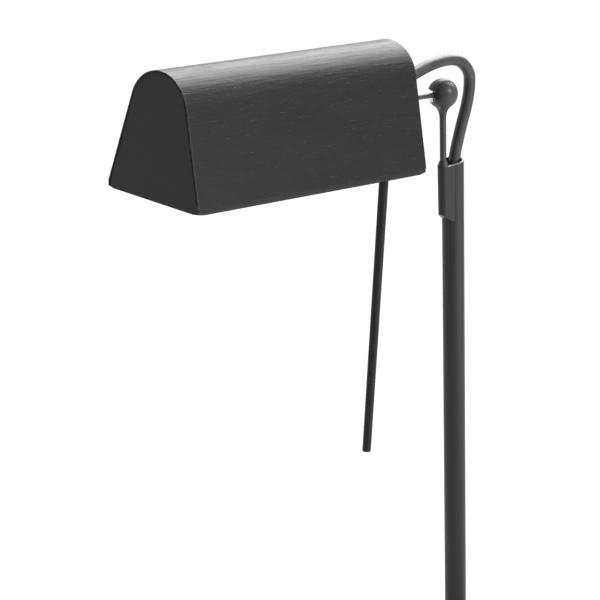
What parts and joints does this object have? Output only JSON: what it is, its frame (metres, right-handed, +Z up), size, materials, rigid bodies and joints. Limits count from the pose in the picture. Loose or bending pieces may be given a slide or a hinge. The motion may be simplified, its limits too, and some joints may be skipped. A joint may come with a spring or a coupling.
{
  "type": "piano lamp",
  "caption": "Upright piano lamp: a long dark shade on a ball swivel beside a slim tube on a round foot, with a flex loop and a hanging pull switch.",
  "frame": {"origin": "centre of the foot's underside, on the axis of the tube", "axes": "+Z up along the tube, -X the way the shade reaches, +Y completes the right-handed frame"},
  "size_m": [0.3125, 0.15, 0.4771],
  "materials": {
    "cover_steel": "semi-gloss enamel over spun steel",
    "shade_steel": "dark bronzed enamel, rubbed lengthways to a soft sheen",
    "pole_steel": "dark semi-gloss enamel",
    "ball_metal": "dark semi-gloss",
    "bright_steel": "turned, bright",
    "dark_steel": "dark, smooth",
    "iron": "as cast",
    "zinc_steel": "plated",
    "brass": "plain",
    "felt": "felt",
    "flex_sleeve": "smooth sheath with a soft sheen",
    "gland_rubber": "matt",
    "pull_plastic": "satin",
    "bakelite": "moulded",
    "ceramic": "glazed ceramic",
    "opal": "opal white",
    "braze": "filled and painted over"
  },
  "bodies": {
    "stand": {"foot_pad": "felt", "foot_plate": "zinc_steel", "foot_screws": "zinc_steel", "foot_weight": "iron", "foot_cover": "cover_steel", "lead_gland": "gland_rubber", "pole_nipple": "zinc_steel", "foot_washer": "zinc_steel", "foot_nut": "zinc_steel", "pole_collar": "pole_steel", "pole_tube": "pole_steel", "joint_rod": "dark_steel", "rod_braze": "braze", "ball_cup": "ball_metal", "ball_cap": "ball_metal", "flex_loop": "flex_sleeve", "pole_lead": "flex_sleeve"},
    "swing": {"seat_lower": "dark_steel", "seat_upper": "dark_steel", "seat_spring": "bright_steel"},
    "tilt": {"swivel_ball": "bright_steel"},
    "shade": {"shade_stem": "dark_steel", "stem_washer": "zinc_steel", "stem_end_nut": "zinc_steel", "stem_nut": "zinc_steel", "shade_shell": "shade_steel", "end_plate_outer": "shade_steel", "end_plate_inner": "shade_steel", "holder_nipple": "zinc_steel", "nipple_nut": "zinc_steel", "flex_bush": "bakelite", "holder_cap": "bakelite", "holder_shell": "bakelite", "holder_core": "ceramic", "holder_thread": "brass", "holder_contact": "brass", "bulb_contact": "brass", "bulb_cap": "brass", "bulb_glass": "opal", "switch_body": "bakelite", "switch_screws": "zinc_steel", "pull_spring": "bright_steel", "switch_lead_live": "gland_rubber", "switch_lead_lamp": "gland_rubber"},
    "pull_body": {"pull": "pull_plastic", "pull_ferrule": "brass"}
  },
  "joints": [
    {"name": "shade_swing", "type": "hinge", "parent": "stand", "child": "swing", "pos_m": [-0.0083, 0, 0.4087], "axis": [0, 0, 1], "range_deg": [-80, 0], "deforming": ["flex_loop"]},
    {"name": "shade_tilt", "type": "hinge", "parent": "swing", "child": "tilt", "pos_m": [-0.0083, 0, 0.4087], "axis": [0, 1, 0], "range_deg": [-19, 2.5], "deforming": ["flex_loop"]},
    {"name": "shade_roll", "type": "hinge", "parent": "tilt", "child": "shade", "pos_m": [-0.0083, 0, 0.4087], "axis": [-0.9891, 0, 0.1469], "range_deg": [-60, 60], "deforming": ["flex_loop"]},
    {"name": "pull_switch", "type": "slide", "parent": "shade", "child": "pull_body", "axis": [-0.1129, 0, -0.9936], "range_m": [0, 0.006], "stiffness_N_per_m": 300, "springref_m": -0.004, "deforming": ["pull_spring"]}
  ]
}
